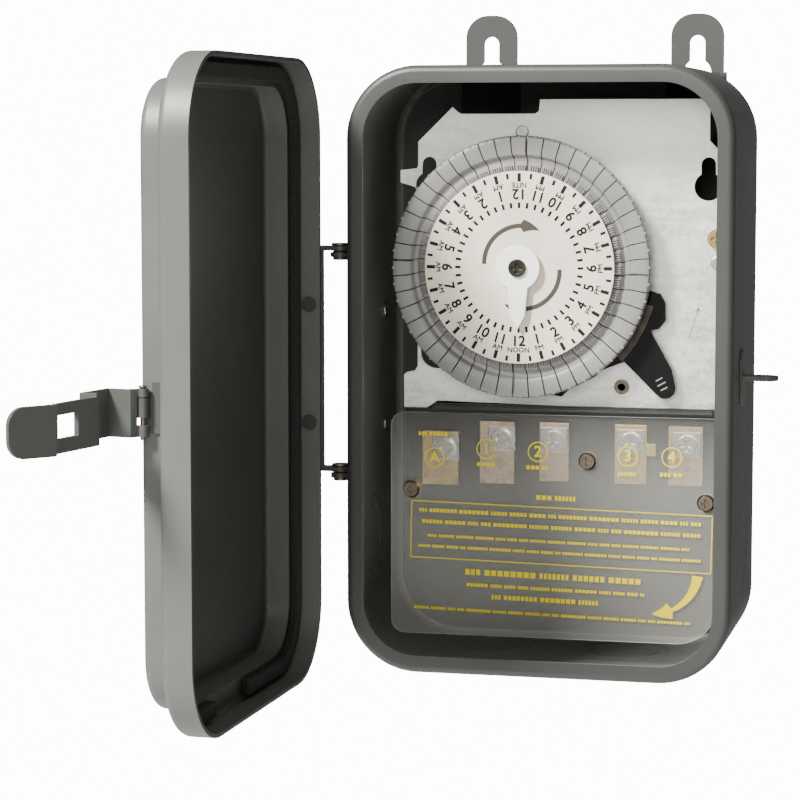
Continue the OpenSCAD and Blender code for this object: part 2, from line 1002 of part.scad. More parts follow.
module pointer_screw() {
    color("#33312c")
        screw_y([dial_x, dial_z], 2.85, pointer_screw_r, pointer_n[0] - 5, pointer_n[1], 0.9);
}

// ---------- motor ----------

module motor_can() {
    color("#b9b9b2")
    union() {
        disc(motor_at, motor_r, motor_n[0], motor_n[1]);
        disc(motor_at, 5, motor_n[0] - 1.5, motor_n[0]);
    }
}

module motor_gearbox() {
    color("#a3a39b")
    difference() {
        union() {
            disc(motor_at, 19, gearbox_n[0], gearbox_n[1]);
            slab(gearbox_n[1] - 1.6, gearbox_n[1])
                translate([motor_at[0], motor_at[1] + 6])
                    rounded(64, 11, 5);
        }
        disc(pinion_at, pinion_shaft_r + run, gearbox_n[1] - 6, gearbox_n[1] + 1);
        for (p = motor_post_at)
            disc(p, 1.5, gearbox_n[1] - 3, gearbox_n[1] + 1);
    }
}

module motor_posts() {
    color("#b8b8b0")
    for (p = motor_post_at)
        slab(gearbox_n[1], plate_n - plate_t)
            ring2d(p, 3.2, 1.5);
}

module motor_screws() {
    color("#c9b56a")
    for (p = motor_post_at)
        union() {
            disc(p, 1.5, gearbox_n[1] - 1.6, plate_n - plate_t - 0.6);
            disc(p, 3, gearbox_n[1] - 3.4, gearbox_n[1] - 1.6);
        }
}

module motor_pinion() {
    color("#d8c48a")
    union() {
        slab(gear_n[0] - 0.2, gear_n[1] - 0.2)
            translate(pinion_at)
                polygon(gear_points(pinion_teeth, pinion_r, 0.3, 0.1));
        disc(pinion_at, pinion_shaft_r, gearbox_n[1] - 5, gear_n[1] - 0.2);
    }
}

// an insulated lead from the back of the motor's rim down to the board
module motor_leads() {
    lead_r = 1;
    joint_r = 1.15;
    lead_n = 26;
    lead_x = -3;
    top_z = motor_at[1] - motor_r + 3;
    end_z = board_z[1];
    color("#3a3026")
    for (x = [lead_x, lead_x - 4])
        union() {
            translate([x, -lead_n, end_z])
                cylinder(h = top_z - end_z, r = lead_r);
            translate([x, -lead_n, top_z])
                sphere(joint_r);
            disc([x, top_z], lead_r, motor_n[1], lead_n);
        }
}

// ---------- terminal board ----------

module board_front_2d() {
    difference() {
        union() {
            translate([board_x[0], board_z[0]])
                square([board_x[1] - board_x[0], board_z[1] - board_z[0]]);
            for (p = rivet_at)
                translate([p[0] - lug_w / 2, board_z[1] - 1])
                    square([lug_w, lug_z - board_z[1] + 1]);
        }
        for (p = rivet_at)
            translate(p)
                circle(rivet_hole_r);
    }
}

module terminal_board() {
    color("#181816")
    difference() {
        union() {
            slab(board_n[0], plate_n - plate_t)
                board_front_2d();
            span(board_x, [board_n[0], board_n[1]], board_z);
            span([board_x[0] + 9.5, board_x[1] - 1], [plate_n, board_lip_n],
                 [board_z[1] - 1.2, board_lip_z]);
            span([board_x[0] + 2, board_x[1] - 2], [cover_n[1], board_n[0]],
                 [carrier_bar_z[0] - rail_t - 0.2, carrier_bar_z[0] - 0.2]);
            for (x = [[board_x[0] + 2, drive_xz[0] - tab_half - 2],
                      [drive_xz[0] + tab_half + 14, board_x[1] - 2]])
                span(x, [cover_n[1], board_n[0]], [carrier_bar_z[1] + 0.2, carrier_bar_z[1] + rail_t + 0.2]);
        }
        for (p = terminal_at)
            disc(p, terminal_screw_r, screw_end_n, board_n[1] + 1);
        for (x = contact_x)
            disc([x, contact_z], contact_r, board_n[0] - 1, board_n[1] + 1);
        for (p = sheet_post_at)
            disc(p, 1.2, board_n[1] - 5, board_n[1] + 1);
        for (x = cover_screw_x)
            disc([x, cover_screw_z], 1.3, board_n[0] - 1, board_n[0] + 8);
    }
}

module board_rivets() {
    color("#8a7f5c")
    for (p = rivet_at)
        difference() {
            union() {
                disc(p, rivet_hole_r, board_n[0], plate_n);
                disc(p, eyelet_head_r, plate_n, plate_n + 0.9);
                disc(p, eyelet_head_r, board_n[0] - 0.9, board_n[0]);
            }
            disc(p, eyelet_r, board_n[0] - 2, plate_n + 2);
        }
}

// flat terminal: its plate and its screw hole
module terminal(at, x, z) {
    slab(terminal_n[0], terminal_n[1])
        difference() {
            translate([x[0], z[0]])
                square([x[1] - x[0], z[1] - z[0]]);
            translate(at)
                circle(terminal_screw_r);
        }
}

module terminal_a() {
    color("#b08a4a")
        terminal(screw_a, [-43, -31], [-39.2, -21.6]);
}

module terminal_1() {
    color("#b3a08c")
        terminal(screw_1, [-23.8, -12.4], [-38.3, -18]);
}

module terminal_2() {
    color("#b3a08c")
        terminal(screw_2, [-4, 5.6], [-37, -18]);
}

module terminal_3() {
    color("#b08a4a")
    union() {
        terminal(screw_3, [20.6, 31], [-37.2, -18]);
        span([31 - eps, 34], terminal_n, [-28, -24]);
    }
}

module terminal_4() {
    color("#b3a08c")
        terminal(screw_4, [38, 49], [-37.2, -18.2]);
}

module pressure_plates() {
    color("#b9b2a4")
    for (p = terminal_at)
        slab(pressure_n[0], pressure_n[1])
            translate(p)
                difference() {
                    square([9, 8], center = true);
                    circle(terminal_screw_r);
                }
}

module terminal_screws() {
    color("#c3b48a")
    for (p = terminal_at)
        union()
            screw_y(p, terminal_head_r, terminal_screw_r, screw_end_n + 1, head_n[0], 2);
}

module fixed_contacts() {
    color("#c8c4b8")
    for (x = contact_x)
        disc([x, contact_z], contact_r, board_n[0] - 0.05, board_n[1]);
}

module contact_carrier() {
    fork_x = drive_xz[0];
    color("#2a2a28")
    difference() {
        union() {
            span([carrier_bar_x[0], carrier_bar_x[1]], carrier_bar_n, carrier_bar_z);
            span([fork_x - tab_half, fork_x + tab_half], carrier_bar_n, [carrier_bar_z[1] - 1, 3]);
        }
        span([fork_x - fork_half, fork_x + fork_half], [carrier_bar_n[0] - 1, carrier_bar_n[1] + 1],
             [fork_z, 5]);
    }
}

module contact_bridges() {
    color("#b97b4c")
    for (i = [0, 2])
        span([contact_x[i] - bridge_half, contact_x[i + 1] + bridge_half],
             [carrier_bar_n[1], board_n[0] - 0.15],
             [contact_z - bridge_half, contact_z + bridge_half]);
}

module switch_cover() {
    color("#4a3b2c")
    slab(cover_n[0], cover_n[1])
        difference() {
            translate([board_x[0] + 1, board_z[0] + 1])
                square([board_x[1] - board_x[0] - 2, 26]);
            for (x = cover_screw_x)
                translate([x, cover_screw_z])
                    circle(1.3);
        }
}

module switch_cover_screws() {
    color("#c3b48a")
    for (x = cover_screw_x)
        union() {
            disc([x, cover_screw_z], 1.3, cover_n[0], board_n[0] + 7);
            disc([x, cover_screw_z], 2.4, cover_n[0] - 1.5, cover_n[0]);
        }
}

// ---------- insulating sheet ----------

module sheet_outline() {
    w = sheet_x[1] - sheet_x[0];
    h = sheet_z[1] - sheet_z[0];
    big = sheet_big_corner;
    small = sheet_small_corner;
    translate([sheet_x[0], sheet_z[0]])
        union() {
            translate([small, 0])
                square([w - small - big, h]);
            translate([0, small])
                square([small + eps, h - 2 * small]);
            translate([w - big - eps, big])
                square([big + eps, h - big]);
            translate([small, small])
                circle(small);
            translate([small, h - small])
                circle(small);
            translate([w - big, big])
                circle(big);
        }
}

module insulator() {
    color([0.75, 0.77, 0.76, 0.6])
    slab(sheet_n[0], sheet_n[1])
        difference() {
            sheet_outline();
            for (p = sheet_post_at)
                translate(p)
                    circle(sheet_hole_r);
        }
}

// fixed strip of the same plastic; the sheet lifts on the fold in front of it
module insulator_strip() {
    color([0.75, 0.77, 0.76, 0.6])
        span([board_x[0] + 10, board_x[1] - 2], [board_lip_n, sheet_n[1]],
             [sheet_axis_z + 0.8, sheet_axis_z + 1.6]);
}

module insulator_posts() {
    color("#8a7a52")
    for (p = sheet_post_at)
        union() {
            disc(p, sheet_post_r, board_n[1], sheet_n[0] - 0.2);
            disc(p, 1.2, board_n[1] - 4, board_n[1]);
        }
}

module insulator_screws() {
    color("#a39a86")
    for (p = sheet_post_at)
        union()
            screw_y(p, sheet_head_r, sheet_screw_r, sheet_n[0] - 0.2, sheet_n[1] - 0.2, 1.2);
}

// ---------- selection ----------

box_body();
hanger_ears();
knockout_rings();
knockout_slugs();
hasp_staple();
box_hinge_bracket();
box_hinge_rivets();
hinge_pin_upper();
hinge_pin_lower();
door_shell();
door_hinge_bracket();
door_hinge_rivets();
door_gasket();
hasp_base();
hasp_pin();
hasp_strap();
mechanism_plate();
plate_rivets();
plate_posts();
plate_screws();
center_stud();
lever_spacer();
manual_lever();
trip_plate();
drive_pin();
dial_hub();
dial_gear();
tripper_carrier();
dial_disc();
trippers();
tripper_east();
tripper_north();
tripper_west();
tripper_south();
time_pointer();
pointer_screw();
motor_can();
motor_gearbox();
motor_posts();
motor_screws();
motor_pinion();
motor_leads();
terminal_board();
board_rivets();
terminal_a();
terminal_1();
terminal_2();
terminal_3();
terminal_4();
pressure_plates();
terminal_screws();
fixed_contacts();
contact_carrier();
contact_bridges();
switch_cover();
switch_cover_screws();
insulator();
insulator_strip();
insulator_posts();
insulator_screws();
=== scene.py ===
import json
import math
import bmesh
import bpy
from mathutils import Matrix, Vector


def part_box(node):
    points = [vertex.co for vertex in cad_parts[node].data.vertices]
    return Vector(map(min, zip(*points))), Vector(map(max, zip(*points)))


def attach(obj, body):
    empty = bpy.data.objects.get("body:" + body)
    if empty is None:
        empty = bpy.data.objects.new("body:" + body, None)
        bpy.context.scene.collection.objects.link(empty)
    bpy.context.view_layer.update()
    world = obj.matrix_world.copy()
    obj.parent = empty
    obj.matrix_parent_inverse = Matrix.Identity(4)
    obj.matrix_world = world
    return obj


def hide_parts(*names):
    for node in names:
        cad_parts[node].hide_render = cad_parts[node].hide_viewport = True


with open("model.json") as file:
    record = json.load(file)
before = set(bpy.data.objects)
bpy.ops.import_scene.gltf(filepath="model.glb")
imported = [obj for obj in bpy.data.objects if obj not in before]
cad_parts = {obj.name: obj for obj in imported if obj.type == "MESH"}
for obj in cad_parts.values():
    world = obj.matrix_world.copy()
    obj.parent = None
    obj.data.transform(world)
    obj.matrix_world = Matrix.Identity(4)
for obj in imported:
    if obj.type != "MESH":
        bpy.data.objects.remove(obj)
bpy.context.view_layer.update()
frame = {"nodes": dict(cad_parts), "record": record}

record = frame["record"]
bodyOf = {n: b for b, nodes in record["behaviour"]["bodies"].items() for n in nodes}

cameraSet = {
    "place": (0.15404, -0.88975, 0.07355),
    "yaw": 13.51,        # degrees to the left of +Y
    "pitch": -5.56,
    "lens": 120.74,
}


def makeCamera():
    data = bpy.data.cameras.new("camera")
    data.lens = cameraSet["lens"]
    data.sensor_width = 36
    data.clip_start = 0.01
    camera = bpy.data.objects.new("camera", data)
    camera.location = cameraSet["place"]
    camera.rotation_euler = (math.radians(90 + cameraSet["pitch"]), 0, math.radians(cameraSet["yaw"]))
    bpy.context.scene.collection.objects.link(camera)
    bpy.context.scene.camera = camera


makeCamera()
print("camera made")


class Value:
    def __init__(self, paint, socket):
        self.paint, self.socket = paint, socket

    def maths(self, kind, first, second):
        return self.paint.node("ShaderNodeMath", {"operation": kind}, first, second)[0]

    def __add__(self, other):
        return self.maths("ADD", self, other)

    def __radd__(self, other):
        return self.maths("ADD", other, self)

    def __mul__(self, other):
        return self.maths("MULTIPLY", self, other)

    def __rmul__(self, other):
        return self.maths("MULTIPLY", other, self)


class Paint:
    def __init__(self, name, color, metallic=0.0, roughness=0.5, **sockets):
        self.material = bpy.data.materials.new(name)
        self.material.use_nodes = True
        self.tree = self.material.node_tree
        self.shader = self.tree.nodes["Principled BSDF"]
        self.shader.inputs["Base Color"].default_value = (*color, 1)
        self.shader.inputs["Metallic"].default_value = metallic
        self.shader.inputs["Roughness"].default_value = roughness
        for key, value in sockets.items():
            self.shader.inputs[key.replace("_", " ")].default_value = value
        self.place = self.node("ShaderNodeTexCoord", {})["Object"]

    def put(self, socket, value):
        if isinstance(value, Value):
            self.tree.links.new(value.socket, socket)
        elif value is not None:
            socket.default_value = value

    def node(self, kind, settings, *values, **named):
        made = self.tree.nodes.new(kind)
        for key, value in settings.items():
            if key == "stops":
                ramp = made.color_ramp
                while len(ramp.elements) < len(value):
                    ramp.elements.new(0.5)
                for element, (at, color) in zip(ramp.elements, value):
                    element.position, element.color = at, (*color, 1)
            else:
                setattr(made, key, value)
        for socket, value in zip(made.inputs, values):
            self.put(socket, value)
        for key, value in named.items():
            self.put(made.inputs[key.replace("_", " ")], value)
        return Outputs(self, made)

    def noise(self, scale, detail=3, rough=0.5, place=None):
        return self.node("ShaderNodeTexNoise", {}, Vector=place or self.place, Scale=scale,
                         Detail=detail, Roughness=rough)["Fac"]

    def stretched(self, x, y, z):
        return self.node("ShaderNodeMapping", {}, Vector=self.place, Scale=(x, y, z))["Vector"]

    def ramp(self, value, *stops):
        return self.node("ShaderNodeValToRGB", {"stops": stops}, Fac=value)["Color"]

    def blendColor(self, mask, first, second):
        mixed = self.node("ShaderNodeMix", {"data_type": "RGBA"})
        self.put(mixed.made.inputs["Factor"], mask)
        for key, color in (("A", first), ("B", second)):
            socket = [s for s in mixed.made.inputs if s.name == key and s.type == "RGBA"][0]
            self.put(socket, color if isinstance(color, Value) else (*color, 1))
        return Value(self, [s for s in mixed.made.outputs if s.type == "RGBA"][0])

    def bump(self, height, depth, strength=0.5):
        normal = self.node("ShaderNodeBump", {}, Strength=strength, Distance=depth, Height=height)
        self.set("Normal", normal["Normal"])

    def set(self, key, value):
        self.put(self.shader.inputs[key], value)


class Outputs:
    def __init__(self, paint, made):
        self.paint, self.made = paint, made

    def __getitem__(self, key):
        return Value(self.paint, self.made.outputs[key])


def enamel(name, color, shade=0.82, roughness=0.42):
    p = Paint(name, color, roughness=roughness)
    cloud = p.noise(22, 4)
    fine = p.noise(900, 2)
    scuffs = p.noise(160, 6, 0.75, p.stretched(1, 1, 0.25))
    dark = tuple(c * shade for c in color)
    light = tuple(min(1, c * 1.12) for c in color)
    wear = p.ramp(scuffs, (0.60, (0, 0, 0)), (0.74, (1, 1, 1)))
    p.set("Base Color", p.blendColor(wear * 0.25, p.ramp(cloud, (0.3, dark), (0.7, color)), light))
    p.set("Roughness", roughness - 0.06 + cloud * 0.14 + fine * 0.05)
    p.bump(fine, 0.00006)
    return p.material


def galvanised(name):
    p = Paint(name, (0.74, 0.75, 0.73), metallic=1.0, roughness=0.4)
    cells = p.node("ShaderNodeTexVoronoi", {}, Vector=p.place, Scale=900)
    tint = p.node("ShaderNodeSeparateColor", {}, Color=cells["Color"])["Red"]
    streak = p.noise(60, 5, 0.6, p.stretched(1, 1, 6))
    bloom = p.noise(35, 4)
    p.set("Base Color", p.ramp(tint * 0.12 + bloom * 0.42 + streak * 0.46, (0.3, (0.60, 0.60, 0.55)),
                               (0.5, (0.78, 0.78, 0.73)), (0.7, (0.94, 0.94, 0.89))))
    p.set("Roughness", 0.30 + tint * 0.08 + streak * 0.2)
    p.bump(tint * 0.3 + streak, 0.00003)
    return p.material


def metal(name, color, roughness=0.32, grime=(0.12, 0.10, 0.08), dirt=0.5):
    p = Paint(name, color, metallic=1.0, roughness=roughness)
    cloud = p.noise(240, 4)
    fine = p.noise(1500, 3, 0.6, p.stretched(1, 1, 5))
    mask = p.ramp(cloud, (0.48, (0, 0, 0)), (0.78, (1, 1, 1)))
    p.set("Base Color", p.blendColor(mask * dirt, color, grime))
    p.set("Roughness", roughness + mask * 0.22 + fine * 0.08)
    p.bump(fine, 0.00002)
    return p.material


def moulded(name, color, roughness=0.45, grain=0.00004, shine=0.5):
    p = Paint(name, color, roughness=roughness, Specular_IOR_Level=shine)
    cloud = p.noise(60, 3)
    fine = p.noise(1300, 2)
    dark = tuple(c * 0.86 for c in color)
    p.set("Base Color", p.ramp(cloud, (0.35, dark), (0.65, color)))
    p.set("Roughness", roughness - 0.04 + fine * 0.1)
    p.bump(fine, grain)
    return p.material


def foam(name):
    p = Paint(name, (0.03, 0.03, 0.028), roughness=0.95)
    cells = p.node("ShaderNodeTexVoronoi", {}, Vector=p.place, Scale=1400)["Distance"]
    p.set("Base Color", p.ramp(cells, (0.1, (0.004, 0.004, 0.004)), (0.6, (0.014, 0.014, 0.012))))
    p.bump(cells, 0.0001)
    return p.material


def frosted(name):
    # clearer near its top edge, hazier where it hangs free: the haze growing towards the bottom is
    # painted, standing in for the light the frosted sheet scatters from what lies farther behind it
    p = Paint(name, (0.50, 0.50, 0.46), roughness=0.28, IOR=1.46)
    height = p.node("ShaderNodeSeparateXYZ", {}, Vector=p.place)["Z"]
    haze = p.noise(45, 3)
    low = p.ramp(height * -16.0, (0.22, (0.02, 0.02, 0.02)), (0.62, (0.15, 0.15, 0.15)))
    p.set("Alpha", low + haze * 0.05)
    p.set("Roughness", 0.26 + p.noise(1200, 2) * 0.1)
    return p.material


def ink(name, color, roughness=0.55):
    p = Paint(name, color, roughness=roughness, Specular_IOR_Level=0.15)
    speck = p.noise(2200, 3)
    lighter = tuple(min(1, c * 1.2) for c in color)
    p.set("Base Color", p.ramp(speck, (0.4, color), (0.7, lighter)))
    return p.material


finishes = {
    "box_paint": enamel("boxPaint", (0.036, 0.039, 0.035)),
    # the box paint made far lighter: painted light on the box's inner left wall and floor
    "box_inside": enamel("boxInsidePaintedLight", (0.185, 0.195, 0.175)),
    "door_paint": enamel("doorPaint", (0.104, 0.109, 0.100)),
    "bracket_steel": enamel("bracketPaint", (0.052, 0.056, 0.050), roughness=0.38),
    "strap_paint": enamel("strapPaint", (0.064, 0.069, 0.062), roughness=0.36),
    "copper_rivet": metal("copperRivet", (0.30, 0.22, 0.15), 0.34, (0.05, 0.045, 0.04), 0.8),
    "foam": foam("gasketFoam"),
    "galvanised": galvanised("galvanisedSteel"),
    "bare_steel": metal("bareSteel", (0.56, 0.55, 0.52), 0.3),
    "zinc_yellow": metal("yellowZinc", (0.58, 0.46, 0.20), 0.22),
    "brass": metal("brass", (0.84, 0.62, 0.26), 0.24, (0.10, 0.07, 0.03), 0.8),
    "nickel": metal("nickelPlate", (0.80, 0.78, 0.72), 0.2, (0.08, 0.07, 0.05), 0.7),
    "copper": metal("copper", (0.80, 0.60, 0.40), 0.24, (0.10, 0.07, 0.04), 0.85),
    "black_moulding": moulded("blackMoulding", (0.010, 0.010, 0.009), 0.42, shine=0.3),
    "lever_black": moulded("leverBlack", (0.006, 0.006, 0.006), 0.14, 0.00001),
    "brown_moulding": moulded("brownMoulding", (0.06, 0.035, 0.02), 0.4),
    "natural_nylon": moulded("nylon", (0.62, 0.57, 0.45), 0.5),
    "dial_cream": moulded("dialCream", (0.80, 0.72, 0.60), 0.5, 0.00001, 0.25),
    "tripper_grey": moulded("tripperGrey", (0.235, 0.232, 0.22), 0.36),
    "pointer_white": moulded("pointerWhite", (1.0, 1.0, 0.98), 0.3, 0.00001),
    "dark_screw": metal("darkScrew", (0.06, 0.055, 0.045), 0.3),
    "frosted_sheet": frosted("frostedSheet"),
    # the door paint made darker: painted shade on the door's inner faces
    "door_inside": enamel("doorInsidePaintedShade", (0.033, 0.039, 0.033)),
    # a pale, nearly opaque finish for the sheet's cut edges: a painted highlight
    "sheet_edge": moulded("sheetEdgeHighlight", (0.80, 0.81, 0.78), 0.25),
    "warm_steel": metal("warmSteel", (0.22, 0.18, 0.13), 0.28),
    "lead_cover": moulded("leadCover", (0.05, 0.03, 0.02), 0.5),
}
slotOf = {s["node"]: s["material_slot"] for s in record["subparts"]}
for nodeName, nodeObject in frame["nodes"].items():
    for slot in nodeObject.material_slots:
        slot.material = finishes[slotOf[nodeName]]
print("materials made")


def meshPiece(name, bm, material, body, smoothAngle=35):
    mesh = bpy.data.meshes.new(name)
    bm.to_mesh(mesh)
    bm.free()
    mesh.materials.append(material)
    mesh.shade_smooth()
    mesh.set_sharp_from_angle(angle=math.radians(smoothAngle))
    piece = bpy.data.objects.new(name, mesh)
    bpy.context.scene.collection.objects.link(piece)
    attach(piece, body)
    return piece


def roundEdges(piece, width, segments=2, angle=35):
    bevel = piece.modifiers.new("edges", "BEVEL")
    bevel.width = width
    bevel.segments = segments
    bevel.limit_method = "ANGLE"
    bevel.angle_limit = math.radians(angle)
    bevel.harden_normals = True


def softCopy(node, edge=0.0, material=None, segments=2, smoothAngle=35):
    # the CAD part with merged faces and softened edges, standing for its node
    bm = bmesh.new()
    bm.from_mesh(frame["nodes"][node].data)
    bmesh.ops.remove_doubles(bm, verts=bm.verts, dist=1e-6)
    bmesh.ops.dissolve_limit(bm, angle_limit=math.radians(0.5), verts=bm.verts, edges=bm.edges)
    finish = material or finishes[slotOf[node]]
    piece = meshPiece(node + ".piece", bm, finish, bodyOf[node], smoothAngle)
    if edge:
        roundEdges(piece, edge, segments)
    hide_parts(node)
    return piece


def paintLightAndShadeByFacing(piece, finish, chosen):
    # painted light and shade: a second finish, lighter or darker than the first, on the faces whose
    # direction is chosen
    piece.data.materials.append(finishes[finish])
    for face in piece.data.polygons:
        if chosen(face):
            face.material_index = 1


def boxCentre(node):
    low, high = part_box(node)
    return (Vector(low) + Vector(high)) / 2


def facing(bm, at, front):
    # turns a shape drawn in XY, with +Z out of the page, to face -Y
    turn = Matrix.Translation((at[0], front, at[1])) @ Matrix.Rotation(math.radians(90), 4, "X")
    bmesh.ops.transform(bm, matrix=turn, verts=bm.verts)


def addBox(bm, size, at, turn=0.0):
    made = bmesh.ops.create_cube(bm, size=1.0)["verts"]
    bmesh.ops.scale(bm, vec=size, verts=made)
    bmesh.ops.rotate(bm, cent=(0, 0, 0), matrix=Matrix.Rotation(turn, 3, "Z"), verts=made)
    bmesh.ops.translate(bm, vec=at, verts=made)
    return made


letterSet = {
    "smooth": 3,
    "layerStep": 0.00001,   # how far each repeat of a letter stands above the last
}


def addText(bm, words, size, at, turn, bold, height):
    # bold letters are the same strokes drawn four times, a little apart
    curve = bpy.data.curves.new("letters", "FONT")
    curve.body = words
    curve.align_x = "CENTER"
    curve.align_y = "CENTER"
    curve.extrude = height / size / 2
    curve.resolution_u = letterSet["smooth"]
    made = bpy.data.objects.new("letters", curve)
    bpy.context.scene.collection.objects.link(made)
    bpy.context.view_layer.update()
    place = Matrix.Translation((at[0], at[1], height / 2)) @ Matrix.Rotation(turn, 4, "Z")
    shifts = ((-bold, -bold), (bold, -bold), (-bold, bold), (bold, bold))
    for layer, (shiftX, shiftY) in enumerate(shifts):
        shift = Matrix.Translation((shiftX, shiftY, layer * letterSet["layerStep"]))
        flat = bpy.data.meshes.new_from_object(made)
        flat.transform(place @ shift @ Matrix.Scale(size, 4))
        bm.from_mesh(flat)
        bpy.data.meshes.remove(flat)
    bpy.data.objects.remove(made)
    bpy.data.curves.remove(curve)


paintedLightTurn = {
    "box": 0.3,      # how far a face's direction turns inwards before it takes the lighter inside finish, painted light
    # the door's faces that turn this far to the right take a darker finish, painted shade
    "door": 0.25,
    # the sheet's faces that turn this far from its front take a pale finish, a painted highlight
    # along its edges
    "sheet": 0.5,
}


# faces of the inner left wall and the floor, which take the lighter finish as painted light
def boxFacesPaintedLit(face):
    fromLeft = face.normal.x > paintedLightTurn["box"] and face.center.x < 0
    fromBelow = face.normal.z > paintedLightTurn["box"] and face.center.z < 0
    return fromLeft or fromBelow


# the door's faces turned to the right, which take the darker finish as painted shade
def doorFacesPaintedShade(face):
    return face.normal.x > paintedLightTurn["door"]


# the sheet's side faces, which take the pale finish as a painted highlight
def sheetEdgeHighlight(face):
    return abs(face.normal.y) < paintedLightTurn["sheet"]


# the box and its knockouts take painted light on their inner faces
paintLightAndShadeByFacing(softCopy("box_body", 0, smoothAngle=40), "box_inside", boxFacesPaintedLit)
for name in ("knockout_rings", "knockout_slugs"):
    paintLightAndShadeByFacing(softCopy(name, 0.0004, segments=3), "box_inside", boxFacesPaintedLit)
# the door's inner faces take the darker finish, painted shade
paintLightAndShadeByFacing(softCopy("door_shell", 0, smoothAngle=40), "door_inside", doorFacesPaintedShade)
for name in ("hanger_ears", "box_hinge_bracket", "door_hinge_bracket", "hasp_base"):
    softCopy(name)
for name in ("hasp_strap", "hasp_staple"):
    softCopy(name, 0.0003, segments=3)
# the door's rivets take the darker inside finish, painted shade
softCopy("door_hinge_rivets", 0.00035, finishes["door_inside"], segments=3)
for name in ("box_hinge_rivets", "hinge_pin_upper", "hinge_pin_lower", "hasp_pin"):
    softCopy(name, 0.00035, segments=3)
softCopy("door_gasket", 0.0007, segments=3)
print("enclosure done")

softCopy("mechanism_plate", 0.00015)
for name in ("plate_screws", "terminal_screws", "pointer_screw"):
    softCopy(name, 0.0002)
softCopy("insulator_screws", 0.0002, finishes["warm_steel"])
softCopy("plate_rivets", 0.0004, segments=3)
for name in ("terminal_a", "terminal_1", "terminal_2", "terminal_3", "terminal_4", "pressure_plates"):
    softCopy(name, 0.00025)
for name in ("trip_plate", "dial_disc", "insulator_posts"):
    softCopy(name, 0.0002)
softCopy("manual_lever", 0.0003, finishes["lever_black"], segments=3)
softCopy("time_pointer", 0.0004, segments=3)
softCopy("board_rivets", 0.0003, finishes["warm_steel"], segments=3)
softCopy("terminal_board", 0.0004)
# the sheet's cut edges take a pale painted highlight
paintLightAndShadeByFacing(softCopy("insulator", 0.00015), "sheet_edge", sheetEdgeHighlight)
print("mechanism done")

tripper = {
    "count": 48,
    "gap": 0.45,              # degrees between neighbours
    "kink": 1.2,              # degrees that the seam steps sideways
    "ramp": (0.34, 0.62),     # where along the wedge it steps
    "trim": 0.5,              # degrees taken off the side that a sliding tripper leads with
    "tuck": 0.003,            # how far the wedge reaches in under the dial
    "overhang": 0.001,        # and out past the carrier
    "steps": 5,
    "edge": 0.00012,
    "sharp": 30,
    # along and up the wedge, as shares of its reach and depth
    "section": (
        (0.0, 0.0), (1.0, 0.0), (1.0, 0.70), (0.97, 0.90), (0.92, 0.98), (0.86, 1.0), (0.64, 0.93),
        (0.57, 0.80), (0.51, 0.42), (0.42, 0.36), (0.37, 0.66), (0.34, 0.76), (0.0, 0.74),
    ),
    "ribs": 4,
    "ribSize": (0.0034, 0.00048, 0.0012),
    "ribSpread": 1.5,         # width of the ribbed zone, in half wedges
    "ribInset": 0.0032,
    "ribHeight": 0.76,
    "nub": 0.00085,
    "nubSides": 10,
    "nubStretch": (1.7, 0.7, 1),
    "nubInset": 0.0012,
    "nubHeight": 0.76,
    "nubLift": 0.2,
}
dialCentre = boxCentre("dial_disc")
dialAt = (dialCentre.x, dialCentre.z)


def onCircle(radius, angle, height):
    return (radius * math.cos(angle), radius * math.sin(angle), height)


def tripperShape(bm, index, trim=0.0):
    # one wedge: an outer shelf, a valley and a ribbed inner zone
    low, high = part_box("tripper_east")
    depth = high[1] - low[1]
    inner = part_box("dial_disc")[1][0] - dialAt[0] - tripper["tuck"]
    outer = -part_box("tripper_carrier")[0][0] + dialAt[0] + tripper["overhang"]
    reach = outer - inner
    half = math.radians(180 / tripper["count"] - tripper["gap"] / 2)
    kink = math.radians(tripper["kink"])
    trimmed = math.radians(trim)
    centre = index * 2 * math.pi / tripper["count"]
    older = set(bm.verts)
    outline = [bm.verts.new((inner + a * reach, 0, b * depth)) for a, b in tripper["section"]]
    face = bm.faces.new(outline)
    turn = Matrix.Rotation(centre - half + trimmed, 3, "Z")
    bmesh.ops.rotate(bm, cent=(0, 0, 0), matrix=turn, verts=outline)
    bmesh.ops.spin(bm, geom=outline + [face], cent=(0, 0, 0), axis=(0, 0, 1),
                   angle=2 * half - trimmed, steps=tripper["steps"], use_merge=False)
    rampStart, rampEnd = tripper["ramp"]
    for v in bm.verts:
        if v not in older:
            part = (Vector(v.co.xy).length - inner) / reach
            step = max(0.0, min(1.0, (part - rampStart) / (rampEnd - rampStart)))
            v.co = Matrix.Rotation(kink * (step - 0.5), 3, "Z") @ v.co
    for rib in range(tripper["ribs"]):
        sideways = (rib - (tripper["ribs"] - 1) / 2) * tripper["ribSpread"] * half / tripper["ribs"]
        a = centre + sideways - kink / 2
        place = onCircle(inner + tripper["ribInset"], a, depth * tripper["ribHeight"])
        addBox(bm, tripper["ribSize"], place, a)
    a = centre + kink / 2
    tall = depth * tripper["nubHeight"]
    nub = bmesh.ops.create_cone(bm, cap_ends=True, segments=tripper["nubSides"], depth=tall,
                                radius1=tripper["nub"], radius2=tripper["nub"])["verts"]
    bmesh.ops.scale(bm, vec=tripper["nubStretch"], verts=nub)
    bmesh.ops.rotate(bm, cent=(0, 0, 0), matrix=Matrix.Rotation(a, 3, "Z"), verts=nub)
    place = onCircle(outer - tripper["nubInset"], a, tall / 2 + depth * tripper["nubLift"])
    bmesh.ops.translate(bm, vec=place, verts=nub)


